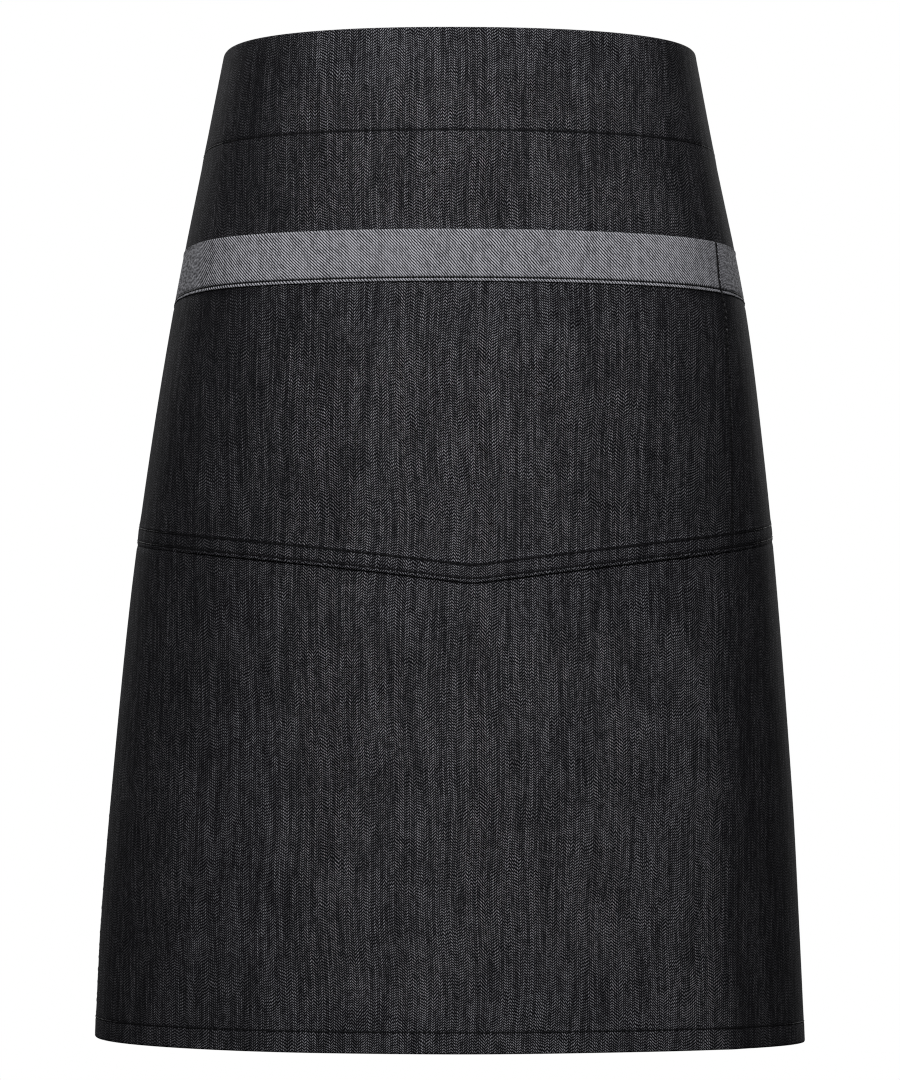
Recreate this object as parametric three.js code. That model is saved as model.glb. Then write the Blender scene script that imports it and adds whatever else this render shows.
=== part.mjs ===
// Waist apron of black denim in its worn form. A panel wraps round the front of the hips,
// a wide pocket with a light turned-out band lies on it, and two ties meet in a knot at the back.
// Millimetres, +Z up, the front faces -Y, and the wearer's left tie is on +X.
// The origin is the centre of the waist loop, at the height of the knot.

import * as THREE from "three";

// Cloth
const clothThickness = 1.0;
const clearance = 0.3;

// Panel, measured on the flat cloth
const panelLength = 500;
const panelWidth = 480;
const facingDepth = 53;
const hemDepth = 11.5;
const sideHemWidth = 11.5;

// Pocket, measured on the flat cloth
const mouthDrop = 99;
const bandHeight = 25;
const pocketDepth = 173;
const pocketRise = 32;
const pointShift = 5;
const dividerShift = 138;
const pocketInset = 1;
const pocketEase = 1.5;

// Worn form
const waistWidth = 236;
const hemWidth = 359;
const hipDepth = 224;
const sideDroop = 10;
const droopSpan = 200;
const levelSpan = 120;

// Ties
const tieWidth = 25;
const tieThickness = 1.8;
const tieDrop = 3;
const tieOverlap = 20;
const gatherLength = 32;
const gatheredWidth = 17;
const gatheredThickness = 4;

// Knot and hanging ends
const knotWidth = 30;
const knotHeight = 28;
const knotDepth = 16;
const tailLength = 290;
const tailSpacing = 15;
const tailSpread = 20;
const tailLift = 9;
const tailNeckWidth = 12;
const tailGather = 45;

// How closely the faceted walls follow the form
const columnStep = 11;
const rowStep = 28;
const fallStep = 4;
const feelStep = 0.5;
const traceSteps = 360;

// Horizontal sections of the worn form, from the top edge to the hem.
// down: share of panelLength. left and right: where the half width lies between the waist's (0)
// and the hem's (1). depth: share of hipDepth. square: exponent of the rounded outline,
// 2 for an ellipse. leftDroop and rightDroop: shares of sideDroop.
const sections = [
  { down: 0.00, left: -0.03, right: 0.02, depth: 0.89, square: 2.8, leftDroop: 0.95, rightDroop: 0.95 },
  { down: 0.10, left: 0.14, right: 0.19, depth: 0.95, square: 3.1, leftDroop: 0.85, rightDroop: 0.90 },
  { down: 0.25, left: 0.36, right: 0.41, depth: 1.00, square: 3.2, leftDroop: 0.80, rightDroop: 0.80 },
  { down: 0.40, left: 0.57, right: 0.58, depth: 1.00, square: 3.2, leftDroop: 0.80, rightDroop: 0.65 },
  { down: 0.55, left: 0.74, right: 0.71, depth: 0.98, square: 2.8, leftDroop: 0.70, rightDroop: 0.45 },
  { down: 0.75, left: 0.90, right: 0.84, depth: 0.96, square: 2.3, leftDroop: 0.40, rightDroop: 0.25 },
  { down: 1.00, left: 1.03, right: 0.95, depth: 0.96, square: 2.0, leftDroop: 0.00, rightDroop: 0.30 },
];

// Cuts across the knot. along: share of half its width. high and deep: shares of its half
// height and half depth.
const knotCuts = [
  { along: -1.0, high: 0.66, deep: 0.52 },
  { along: -0.7, high: 0.92, deep: 0.86 },
  { along: -0.3, high: 1.00, deep: 1.00 },
  { along: 0.3, high: 1.00, deep: 1.00 },
  { along: 0.7, high: 0.92, deep: 0.86 },
  { along: 1.0, high: 0.66, deep: 0.52 },
];

// The hanging ends. down: share of the end's length. out: share of tailSpread.
// back: share of tailLift. turn: degrees about the vertical.
const tailCourse = [
  { down: 0.00, out: 0.00, back: 0.00, turn: 0 },
  { down: 0.06, out: 0.10, back: 0.30, turn: 6 },
  { down: 0.16, out: 0.42, back: 0.85, turn: 16 },
  { down: 0.30, out: 0.70, back: 1.00, turn: 22 },
  { down: 0.50, out: 0.86, back: 0.70, turn: 14 },
  { down: 0.75, out: 0.96, back: 0.45, turn: 4 },
  { down: 1.00, out: 1.00, back: 0.55, turn: -6 },
];

// The two sides of the apron. share: of tailLength.
const sides = [
  { name: "left", sign: -1, share: 1.00 },
  { name: "right", sign: 1, share: 0.93 },
];

const colours = {
  denim: { color: 0x2c2d30, roughness: 0.92 },
  band: { color: 0x7d7e82, roughness: 0.9 },
  tie: { color: 0x232427, roughness: 0.88 },
};

// A smooth value between the rows of a table, by the column named key, along the column named by.
function smooth(table, by, key, at) {
  const last = table.length - 1;
  const place = Math.min(Math.max(at, table[0][by]), table[last][by]);
  let i = 0;
  while (i < last - 1 && place > table[i + 1][by]) i += 1;
  const slope = (k) => {
    const before = table[Math.max(k - 1, 0)];
    const after = table[Math.min(k + 1, last)];
    return (after[key] - before[key]) / (after[by] - before[by]);
  };
  const span = table[i + 1][by] - table[i][by];
  const t = (place - table[i][by]) / span;
  const rise = table[i + 1][key] - table[i][key];
  const startSlope = slope(i) * span;
  const endSlope = slope(i + 1) * span;
  const bend = startSlope - 2 * rise + endSlope;
  return table[i][key] + t * (startSlope + t * (rise - startSlope - bend + t * bend));
}

function halfWidth(down, side) {
  const share = smooth(sections, "down", side, down);
  return (waistWidth + (hemWidth - waistWidth) * share) / 2;
}

function halfDepth(down) {
  return (hipDepth / 2) * smooth(sections, "down", "depth", down);
}

// Half of a horizontal section, from the centre front to the centre back, with its arc lengths.
const traced = new Map();
function trace(down, side) {
  const key = side + down.toFixed(6);
  if (traced.has(key)) return traced.get(key);
  const wide = halfWidth(down, side);
  const deep = halfDepth(down);
  const power = 2 / smooth(sections, "down", "square", down);
  const line = { x: [0], y: [-deep], along: [0] };
  for (let i = 1; i <= traceSteps; i += 1) {
    const angle = (Math.PI * i) / traceSteps;
    const cosine = Math.cos(angle);
    const x = wide * Math.abs(Math.sin(angle)) ** power;
    const y = -deep * Math.sign(cosine) * Math.abs(cosine) ** power;
    line.along.push(line.along[i - 1] + Math.hypot(x - line.x[i - 1], y - line.y[i - 1]));
    line.x.push(x);
    line.y.push(y);
  }
  traced.set(key, line);
  return line;
}

function between(from, to, at) {
  let low = 0;
  let high = from.length - 1;
  while (high - low > 1) {
    const middle = (low + high) >> 1;
    if (from[middle] > at) high = middle;
    else low = middle;
  }
  const t = (at - from[low]) / (from[high] - from[low]);
  return to[low] + (to[high] - to[low]) * t;
}

// Height below the top edge at the centre front, where the cloth keeps its flat length.
const fall = { length: [0], drop: [0] };
for (let v = fallStep; v <= panelLength + fallStep; v += fallStep) {
  const before = fall.length.length - 1;
  const lean = halfDepth(v / panelLength) - halfDepth((v - fallStep) / panelLength);
  fall.length.push(v);
  fall.drop.push(fall.drop[before] + Math.sqrt(fallStep ** 2 - lean ** 2));
}

// How far the cloth hangs lower at a distance u from the centre front.
function droop(u, down) {
  const share = smooth(sections, "down", u < 0 ? "leftDroop" : "rightDroop", down);
  const edge = panelWidth / 2;
  const inside = Math.min(Math.abs(u), edge);
  const beyond = Math.min(Math.abs(u) - inside, levelSpan);
  const slope = (2 * edge) / droopSpan ** 2;
  const level = (inside / droopSpan) ** 2 + slope * (beyond - beyond ** 2 / (2 * levelSpan));
  return sideDroop * share * level;
}

// A point of the panel's outer face: u goes round from the centre front, v down from the top edge.
function rawFace(u, v) {
  const down = v / panelLength;
  const line = trace(down, u < 0 ? "left" : "right");
  const reach = Math.min(Math.abs(u), line.along[line.along.length - 1]);
  const x = Math.sign(u) * between(line.along, line.x, reach);
  const y = between(line.along, line.y, reach);
  const z = -between(fall.length, fall.drop, v) - droop(u, down);
  return new THREE.Vector3(x, y, z);
}

function halfRound(v, side) {
  const line = trace(v / panelLength, side);
  return line.along[line.along.length - 1];
}

const tieMiddle = tieDrop + tieWidth / 2;
const knotPlace = rawFace(halfRound(tieMiddle, "right"), tieMiddle);

function face(u, v) {
  const point = rawFace(u, v);
  point.z -= knotPlace.z;
  return point;
}

// The same point moved out from the panel's outer face, square to the cloth.
function layer(u, v, out) {
  const above = Math.max(v - feelStep, 0);
  const round = rawFace(u + feelStep, v).sub(rawFace(u - feelStep, v));
  const fallLine = rawFace(u, above + 2 * feelStep).sub(rawFace(u, above));
  const square = fallLine.cross(round).normalize();
  return face(u, v).addScaledVector(square, out);
}

// A closed body swept through rings. The first half of each ring goes down one side and the second
// half back up the other. Both sides are split along the same diagonals, so that neighbouring
// layers stay parallel, and the ends are closed rung by rung between the two sides.
function sweptBody(rings) {
  const count = rings[0].length;
  const half = count / 2;
  const corners = [];
  rings.forEach((ring) => ring.forEach((p) => corners.push(p.x, p.y, p.z)));
  const faces = [];
  for (let i = 0; i + 1 < rings.length; i += 1) {
    for (let j = 0; j < count; j += 1) {
      const a = i * count + j;
      const b = i * count + ((j + 1) % count);
      if (j < half) faces.push(a, b, b + count, a, b + count, a + count);
      else faces.push(a, b, a + count, b, b + count, a + count);
    }
  }
  const last = (rings.length - 1) * count;
  for (let j = 0; j + 1 < half; j += 1) {
    const far = count - 1 - j;
    faces.push(j, far, far - 1, j, far - 1, j + 1);
    faces.push(last + j, last + far - 1, last + far, last + j, last + j + 1, last + far - 1);
  }
  return outwardGeometry(corners, faces);
}

// Turns every face the other way if the closed body is inside out.
function outwardGeometry(corners, faces) {
  const at = (i) => new THREE.Vector3().fromArray(corners, 3 * i);
  let volume = 0;
  for (let i = 0; i < faces.length; i += 3) {
    volume += at(faces[i]).dot(at(faces[i + 1]).cross(at(faces[i + 2])));
  }
  if (volume < 0) faces.reverse();
  const geometry = new THREE.BufferGeometry();
  geometry.setAttribute("position", new THREE.Float32BufferAttribute(corners, 3));
  geometry.setIndex(faces);
  geometry.computeVertexNormals();
  return geometry;
}

const apron = new THREE.Group();
apron.name = "waist_apron";

function addPiece(name, colour, geometry) {
  const material = new THREE.MeshStandardMaterial({ ...colours[colour], metalness: 0 });
  const mesh = new THREE.Mesh(geometry, material);
  mesh.name = name;
  apron.add(mesh);
}

// Even steps between the marks, none longer than step, with every mark kept.
function evenSteps(marks, step) {
  const places = [marks[0]];
  for (let i = 1; i < marks.length; i += 1) {
    const count = Math.max(1, Math.round((marks[i] - marks[i - 1]) / step));
    for (let k = 1; k <= count; k += 1) {
      places.push(marks[i - 1] + ((marks[i] - marks[i - 1]) * k) / count);
    }
  }
  return places;
}

// A piece of cloth lying along the worn form. Its profile at each column is a closed list of
// points: v down from the top edge, out from the panel's outer face.
function addCloth(name, colour, columns, profileAt) {
  const rings = columns.map((u) => profileAt(u).map(([v, out]) => layer(u, v, out)));
  addPiece(name, colour, sweptBody(rings));
}

// A plain wall's profile: down its outer side and back up its inner side.
function wallProfile(rows, outerAt, innerAt) {
  const upward = [...rows].reverse();
  return [...rows.map((v) => [v, outerAt(v)]), ...upward.map((v) => [v, innerAt(v)])];
}

// Layers inside the panel's outer face
const panelInner = -clothThickness;
const facingOuter = panelInner - clearance;
const facingInner = facingOuter - clothThickness;
const foldStep = clearance;
const leafEdge = clothThickness + foldStep + clearance;

// Shared columns, with one at each line where a piece ends or is sewn down
const panelEdge = panelWidth / 2;
const leafEnd = panelEdge - leafEdge;
const sideHemLine = leafEnd - sideHemWidth;
const innerColumns = evenSteps([-sideHemLine, pointShift, dividerShift, sideHemLine], columnStep);

// Panel, with its edges folded in far enough to cover the turned-in layers
const panelColumns = [
  -panelEdge,
  -panelEdge + clothThickness,
  -panelEdge + clothThickness + foldStep,
  ...innerColumns,
  panelEdge - clothThickness - foldStep,
  panelEdge - clothThickness,
  panelEdge,
];
const tieFoot = tieDrop + tieWidth;
const rowMarks = [leafEdge, tieDrop, tieMiddle, tieFoot, facingDepth, mouthDrop, panelLength - hemDepth];
const innerRows = evenSteps(rowMarks, rowStep);
const panelRows = [
  0,
  clothThickness,
  clothThickness + foldStep,
  ...innerRows,
  panelLength - leafEdge,
  panelLength - clothThickness - foldStep,
  panelLength - clothThickness,
  panelLength,
];
const foldReach = clothThickness + foldStep / 2;
const inFold = (place, low, high) => place < low + foldReach || place > high - foldReach;
addCloth("skirt_panel", "denim", panelColumns, (u) => {
  const folded = (v) => inFold(u, -panelEdge, panelEdge) || inFold(v, 0, panelLength);
  return wallProfile(panelRows, () => 0, (v) => (folded(v) ? facingInner : panelInner));
});

// Turned-in layers
const leafColumns = [-leafEnd, ...innerColumns, leafEnd];
const facingRows = innerRows.filter((v) => v < facingDepth + foldStep);
addCloth("waist_facing", "denim", leafColumns, () =>
  wallProfile(facingRows, () => facingOuter, () => facingInner));

const hemRows = [panelLength - hemDepth, panelLength - leafEdge];
addCloth("bottom_hem", "denim", leafColumns, () =>
  wallProfile(hemRows, () => facingOuter, () => facingInner));

const sideHemTop = facingDepth + clearance;
const sideHemFoot = panelLength - hemDepth - clearance;
const sideHemRows = [
  sideHemTop,
  ...innerRows.filter((v) => v > sideHemTop + clothThickness && v < sideHemFoot - clothThickness),
  sideHemFoot,
];
sides.forEach(({ name, sign }) => {
  const columns = [sideHemLine, leafEnd].map((u) => sign * u).sort((a, b) => a - b);
  addCloth(`side_hem_${name}`, "denim", columns, () =>
    wallProfile(sideHemRows, () => facingOuter, () => facingInner));
});

// Pocket
const pocketInner = clearance;
const pocketOuter = pocketInner + clothThickness;
const bandInner = pocketOuter + clearance;
const bandOuter = bandInner + clothThickness;
const pocketEnd = panelEdge - pocketInset;
const pocketColumns = [-pocketEnd, ...innerColumns, pocketEnd];

// The lower edge: straight lines rising from the point to both ends.
function pocketEdge(u) {
  return mouthDrop + pocketDepth - (pocketRise * Math.abs(u - pointShift)) / panelEdge;
}

// How far the pocket stands off the panel between its seams: most at the mouth.
function ease(u, v) {
  const main = u < dividerShift;
  const low = main ? -pocketEnd : dividerShift;
  const high = main ? dividerShift : pocketEnd;
  const across = Math.sin((Math.PI * (u - low)) / (high - low));
  const reach = Math.min((high - low) / (dividerShift + pocketEnd), 1);
  const along = 1 - ((v - mouthDrop) / (pocketEdge(u) - mouthDrop)) ** 2;
  return pocketEase * reach * Math.max(across, 0) * Math.max(along, 0);
}

const pocketTop = mouthDrop + clothThickness + clearance;
const pocketShares = [0, 0.15, 0.32, 0.5, 0.68, 0.85, 1];
addCloth("pocket_panel", "denim", pocketColumns, (u) => {
  const rows = pocketShares.map((share) => pocketTop + (pocketEdge(u) - pocketTop) * share);
  return wallProfile(rows, (v) => pocketOuter + ease(u, v), (v) => pocketInner + ease(u, v));
});

// The band folds over the pocket's top edge and lies on its outer side.
const bandFold = 0.4 * clothThickness;
addCloth("pocket_band", "band", pocketColumns, (u) => {
  const lower = mouthDrop + bandHeight;
  const middle = mouthDrop + bandHeight / 2;
  const under = mouthDrop + clothThickness;
  return [
    [mouthDrop, pocketInner + bandFold + ease(u, mouthDrop)],
    [mouthDrop, bandOuter - bandFold + ease(u, mouthDrop)],
    [mouthDrop + bandFold, bandOuter + ease(u, mouthDrop)],
    [middle, bandOuter + ease(u, middle)],
    [lower, bandOuter + ease(u, lower)],
    [lower, bandInner + ease(u, lower)],
    [middle, bandInner + ease(u, middle)],
    [under, bandInner + ease(u, under)],
    [under, pocketInner + ease(u, under)],
    [mouthDrop + bandFold, pocketInner + ease(u, mouthDrop)],
  ];
});

// Ties, from inside the panel's top corners round to the knot, gathered where they enter it
const tieOuter = facingInner - clearance;
const tieCentre = tieOuter - tieThickness / 2;

function tieSize(left) {
  const t = Math.min(Math.max(left / gatherLength, 0), 1);
  const open = t * t * (3 - 2 * t);
  return {
    width: gatheredWidth + (tieWidth - gatheredWidth) * open,
    thickness: gatheredThickness + (tieThickness - gatheredThickness) * open,
  };
}

// Cuts where a tie narrows, as shares of the gathered length left to the knot.
const gatherSteps = [0.75, 0.5, 0.25, 0];

// The corners of a tie's cut: down its outer side and back up its inner side.
const strapCorners = [[-0.5, 0.5], [0, 0.5], [0.5, 0.5], [0.5, -0.5], [0, -0.5], [-0.5, -0.5]];

sides.forEach(({ name, sign }) => {
  const overlapStart = panelEdge - tieOverlap - columnStep / 2;
  const onPanel = leafColumns.map((u) => sign * u).filter((u) => u > overlapStart);
  const inside = [...onPanel.sort((a, b) => a - b), panelEdge].map((u) => () => u);
  const end = (v) => halfRound(v, name) - knotWidth / 2 - clearance;
  const run = end(tieMiddle) - panelEdge;
  const marks = [0, 1 - gatherLength / run];
  const shares = evenSteps(marks, columnStep / run).slice(1);
  shares.push(...gatherSteps.map((left) => 1 - (gatherLength * left) / run));
  const behind = shares.map((share) => (v) => panelEdge + (end(v) - panelEdge) * share);
  const rings = [...inside, ...behind].map((place) => {
    const { width, thickness } = tieSize(end(tieMiddle) - place(tieMiddle));
    return strapCorners.map(([across, out]) => {
      const v = tieMiddle + across * width;
      return layer(sign * place(v), v, tieCentre + out * thickness);
    });
  });
  addPiece(`tie_${name}`, "tie", sweptBody(sign < 0 ? rings.reverse() : rings));
});

// Knot, between the ties' ends
const knotCentre = layer(halfRound(tieMiddle, "right") - knotWidth / 2, tieMiddle, tieCentre);
const knotSides = 12;
const knotRings = knotCuts.map(({ along, high, deep }) => {
  const ring = [];
  for (let k = 0; k < knotSides; k += 1) {
    const angle = (2 * Math.PI * (k + 0.5)) / knotSides;
    const x = (along * knotWidth) / 2;
    const y = knotCentre.y + (deep * knotDepth * Math.cos(angle)) / 2;
    const z = (high * knotHeight * Math.sin(angle)) / 2;
    ring.push(new THREE.Vector3(x, y, z));
  }
  return ring;
});
addPiece("tie_knot", "tie", sweptBody(knotRings));

// Hanging ends, each from the knot's flat underside
const knotFlat = (knotHeight * Math.sin((Math.PI * (knotSides - 1)) / (2 * knotSides))) / 2;
sides.forEach(({ name, sign, share }) => {
  const long = tailLength * share;
  const step = columnStep / long;
  const places = evenSteps([0, tailGather / long, 1], 2 * step);
  const rings = places.map((down) => {
    const open = Math.min((down * long) / tailGather, 1);
    const width = tailNeckWidth + (tieWidth - tailNeckWidth) * open;
    const thickness = gatheredThickness + (tieThickness - gatheredThickness) * open;
    const turn = sign * THREE.MathUtils.degToRad(smooth(tailCourse, "down", "turn", down));
    const centre = new THREE.Vector3(
      sign * (tailSpacing / 2 + tailSpread * smooth(tailCourse, "down", "out", down)),
      knotCentre.y + tailLift * smooth(tailCourse, "down", "back", down),
      -knotFlat - clearance - down * long,
    );
    return strapCorners.map(([a, b]) => {
      const spot = new THREE.Vector3(a * width, b * thickness, 0);
      return spot.applyAxisAngle(new THREE.Vector3(0, 0, 1), turn).add(centre);
    });
  });
  addPiece(`tie_tail_${name}`, "tie", sweptBody(rings));
});

export default apron;
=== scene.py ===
import bpy
import numpy as np
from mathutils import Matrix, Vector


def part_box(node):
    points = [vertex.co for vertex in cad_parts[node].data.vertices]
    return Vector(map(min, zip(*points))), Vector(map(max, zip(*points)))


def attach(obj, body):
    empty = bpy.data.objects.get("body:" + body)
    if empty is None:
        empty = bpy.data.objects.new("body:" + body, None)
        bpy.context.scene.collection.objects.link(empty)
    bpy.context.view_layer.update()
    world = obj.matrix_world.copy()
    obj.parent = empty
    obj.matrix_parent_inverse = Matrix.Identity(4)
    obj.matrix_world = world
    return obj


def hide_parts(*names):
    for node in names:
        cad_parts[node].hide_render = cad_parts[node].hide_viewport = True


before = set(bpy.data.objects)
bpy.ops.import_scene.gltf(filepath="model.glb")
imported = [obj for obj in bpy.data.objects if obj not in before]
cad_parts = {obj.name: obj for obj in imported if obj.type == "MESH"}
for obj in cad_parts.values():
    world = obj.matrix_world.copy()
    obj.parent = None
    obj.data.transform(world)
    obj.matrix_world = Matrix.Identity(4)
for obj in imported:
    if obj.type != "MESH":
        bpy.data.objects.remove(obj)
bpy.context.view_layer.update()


# Skirt panel
# One length of black denim, cut 480 mm wide and 500 mm long, hangs in a curve round the hips.
# Its four edges are turned in, pressed and sewn down. All sizes here are in millimetres.
panel_width = 480.0
panel_length = 500.0
panel_edge = panel_width / 2
cloth_thickness = 0.9
layer_gap = 0.1
layer_step = 0.12
facing_depth = 53.0
hem_depth = 11.5
hem_top = panel_length - hem_depth
facing_row = 51.2
hem_row = 489.4
side_row = 230.4
corner_radius = 2.6

# Worn form, section by section from the top edge to the hem. down: share of the panel's length.
# left and right: half width between the waist's (0) and the hem's (1). depth: share of hip_depth.
# square: exponent of the rounded outline. The last two are shares of side_droop.
waist_width = 236.0
hem_width = 359.0
hip_depth = 224.0
side_droop = 10.0
droop_span = 200.0
level_span = 120.0
worn_columns = ("down", "left", "right", "depth", "square", "left_droop", "right_droop")
worn_sections = (
    (0.00, -0.026, 0.047, 0.89, 2.8, 0.95, 0.95),
    (0.10, 0.132, 0.192, 0.95, 3.1, 0.85, 0.90),
    (0.25, 0.376, 0.438, 1.00, 3.2, 0.80, 0.80),
    (0.40, 0.579, 0.594, 1.00, 3.2, 0.80, 0.65),
    (0.55, 0.744, 0.722, 0.98, 2.8, 0.70, 0.45),
    (0.75, 0.902, 0.851, 0.96, 2.3, 0.40, 0.25),
    (0.88, 0.985, 0.909, 0.96, 2.1, 0.19, 0.26),
    (1.00, 1.032, 0.958, 0.96, 2.0, 0.00, 0.30),
)


def smooth_between(columns, table, column, at):
    """A smooth value of one column of a table, along its first column."""
    rows = np.array(table, float)
    x = rows[:, 0]
    y = rows[:, columns.index(column)]
    after = np.minimum(np.arange(len(x)) + 1, len(x) - 1)
    before = np.maximum(np.arange(len(x)) - 1, 0)
    slope = (y[after] - y[before]) / (x[after] - x[before])
    at = np.clip(at, x[0], x[-1])
    i = np.clip(np.searchsorted(x, at, side="right") - 1, 0, len(x) - 2)
    span = x[i + 1] - x[i]
    t = (at - x[i]) / span
    rise = y[i + 1] - y[i]
    bend = slope[i] * span - 2 * rise + slope[i + 1] * span
    return y[i] + t * (slope[i] * span + t * (rise - slope[i] * span - bend + t * bend))


def worn(column, down):
    return smooth_between(worn_columns, worn_sections, column, down)


def worn_outline(down, side):
    """Half of a level section, from the centre front to the centre back, with its length."""
    wide = (waist_width + (hem_width - waist_width) * worn(side, down)) / 2
    deep = hip_depth / 2 * worn("depth", down)
    power = 2 / worn("square", down)
    turn = np.linspace(0, np.pi, 361)
    x = wide * np.abs(np.sin(turn)) ** power
    y = -deep * np.sign(np.cos(turn)) * np.abs(np.cos(turn)) ** power
    along = np.concatenate([[0], np.cumsum(np.hypot(np.diff(x), np.diff(y)))])
    return x, y, along


def droop(u, down):
    """How far the cloth hangs lower at a distance u from the centre front."""
    share = np.where(u < 0, worn("left_droop", down), worn("right_droop", down))
    inside = np.minimum(np.abs(u), panel_edge)
    beyond = np.minimum(np.abs(u) - inside, level_span)
    slope = 2 * panel_edge / droop_span**2
    level = (inside / droop_span) ** 2 + slope * (beyond - beyond**2 / (2 * level_span))
    return side_droop * share * level


# The cloth's outer face on a grid: u goes round from the centre front, v down from the top edge.
u_step = 1.0
v_step = 2.5
fall_step = 4.0
half_girth = 380.0
u_lines = np.arange(-half_girth, half_girth + u_step, u_step)
v_lines = np.arange(0.0, panel_length + 3, v_step)
fall_at = np.arange(0.0, panel_length + 9, fall_step)
lean = np.diff(hip_depth / 2 * worn("depth", fall_at / panel_length))
fallen = np.concatenate([[0], np.cumsum(np.sqrt(fall_step**2 - lean**2))])
worn_face = np.zeros((len(v_lines), len(u_lines), 3))
for i, v in enumerate(v_lines):
    for side, sign in (("left", -1), ("right", 1)):
        x, y, along = worn_outline(v / panel_length, side)
        here = u_lines * sign >= 0
        worn_face[i, here, 0] = sign * np.interp(np.abs(u_lines[here]), along, x)
        worn_face[i, here, 1] = np.interp(np.abs(u_lines[here]), along, y)
    worn_face[i, :, 2] = -np.interp(v, fall_at, fallen) - droop(u_lines, v / panel_length)
worn_square = np.cross(np.gradient(worn_face, axis=0), np.gradient(worn_face, axis=1))
worn_square /= np.maximum(np.linalg.norm(worn_square, axis=2, keepdims=True), 1e-9)

# The waist's level is the middle of the tie, at the centre back.
tie_width = 25.0
tie_drop = 3.0
tie_middle = tie_drop + tie_width / 2
back_reach = worn_outline(tie_middle / panel_length, "right")[2][-1]
back_droop = droop(np.array(back_reach), tie_middle / panel_length)
waist_level = -np.interp(tie_middle, fall_at, fallen) - back_droop
worn_face[:, :, 2] -= waist_level


def swell(at, low, high):
    """Rises smoothly from 0 at low to 1 at high."""
    t = np.clip((at - low) / (high - low), 0, 1)
    return t * t * (3 - 2 * t)


crease_at = 140.0
crease_half_width = 6.0


def drape(u, v):
    """Soft hang of the cloth below the pocket, and the crease down its right side."""
    loose = swell(v, 230, 500)
    wave = np.sin(u / 17.5 + 0.6) * 0.4 + np.sin(u / 29.0 - 1.3 + v / 210) * 0.5
    crease_line = crease_at + 0.012 * (v - 300)
    crease = np.exp(-(((u - crease_line) / crease_half_width) ** 2)) * swell(v, 320, 420)
    return loose * wave * swell(panel_edge - np.abs(u), 0, 30) + crease


# The pocket and its band press on the panel, so their places are needed from here on.
mouth = 100.1
band_foot = 125.5
pocket_depth = 171.4
pocket_rise = 32.0
point = 5.0
point_rounding = 4.0
point_lift = 2.5
edge_slant = 0.0035


def pocket_edge(u):
    """The pocket's lower edge: two straight lines that meet in a slightly rounded point."""
    run = np.sqrt((u - point) ** 2 + point_rounding**2) - point_lift
    return mouth + pocket_depth - pocket_rise * run / panel_edge - edge_slant * u


pull_start = 105.0
pull_full = 165.0
bedding_depth = 0.42


def side_pull(u):
    """Where the cloth is drawn tight round the hips, its layers are squeezed together."""
    return swell(np.abs(u), pull_start, pull_full)


def bedding(u, v):
    """The panel gives way under the squeezed pocket and band, so that they lie nearly flush."""
    below = v - pocket_edge(u)
    from_mouth = swell(v, mouth - 0.9, mouth + 1.1)
    under_pocket = from_mouth * (1 - swell(below, -1, 3))
    under_band = from_mouth * (1 - swell(v, band_foot - 2, band_foot + 2))
    return -bedding_depth * side_pull(u) * (under_pocket + under_band)


def lay(u, v, out):
    """Points at out millimetres from the worn cloth's outer face, and the face's direction there."""
    col = np.clip((u - u_lines[0]) / u_step, 0, len(u_lines) - 1.001)
    row = np.clip(v / v_step, 0, len(v_lines) - 1.001)
    i, j = row.astype(int), col.astype(int)
    a, b = (row - i)[..., None], (col - j)[..., None]
    found = []
    for grid in (worn_face, worn_square):
        upper = grid[i, j] * (1 - b) + grid[i, j + 1] * b
        lower = grid[i + 1, j] * (1 - b) + grid[i + 1, j + 1] * b
        found.append(upper * (1 - a) + lower * a)
    square = found[1] / np.linalg.norm(found[1], axis=-1, keepdims=True)
    return found[0] + square * (out + drape(u, v) + bedding(u, v))[..., None], square


rim_steps = (0, 0.12, 0.35, 0.7, 1.05, 1.5, 2.1, 3.0)
row_steps = (-1.7, -0.9, -0.45, 0, 0.45, 0.9, 1.7)


def seam_steps(start, end, gap, seams=()):
    """Places from start to end, close together at both ends and at each seam."""
    marks = [start + step for step in rim_steps]
    marks += [end - step for step in rim_steps]
    marks += [seam + step for seam in seams for step in row_steps]
    marks = sorted(m for m in marks if start <= m <= end)
    places = [marks[0]]
    for mark in marks[1:]:
        last = places[-1]
        if mark - last > 0.08:
            count = max(1, round((mark - last) / gap))
            places += [last + (mark - last) * k / count for k in range(1, count + 1)]
    places[-1] = end
    return np.array(places)


def pressed(distance, depth=0.28, reach=0.75):
    """A line of stitches pulls the cloth in along its row."""
    return -depth * np.exp(-((distance / reach) ** 2))


row_shade = 0.9
shade_reach = 0.8


def sunk(*distances):
    """How deep a place lies in the shade of the nearest row of stitches."""
    shades = [np.exp(-((away / shade_reach) ** 2)) for away in np.broadcast_arrays(*distances)]
    return row_shade * np.max(shades, axis=0)


def puckered(along, distance, height=0.16):
    """Small waves that the stitches draw up beside a row, about 7 mm apart."""
    wave = np.sin(along / 1.12 + 1.4 * np.sin(along / 9.0)) * 0.6 + np.sin(along / 1.9 + 0.7) * 0.4
    return height * wave * np.exp(-((distance / 4.2) ** 2))


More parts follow.
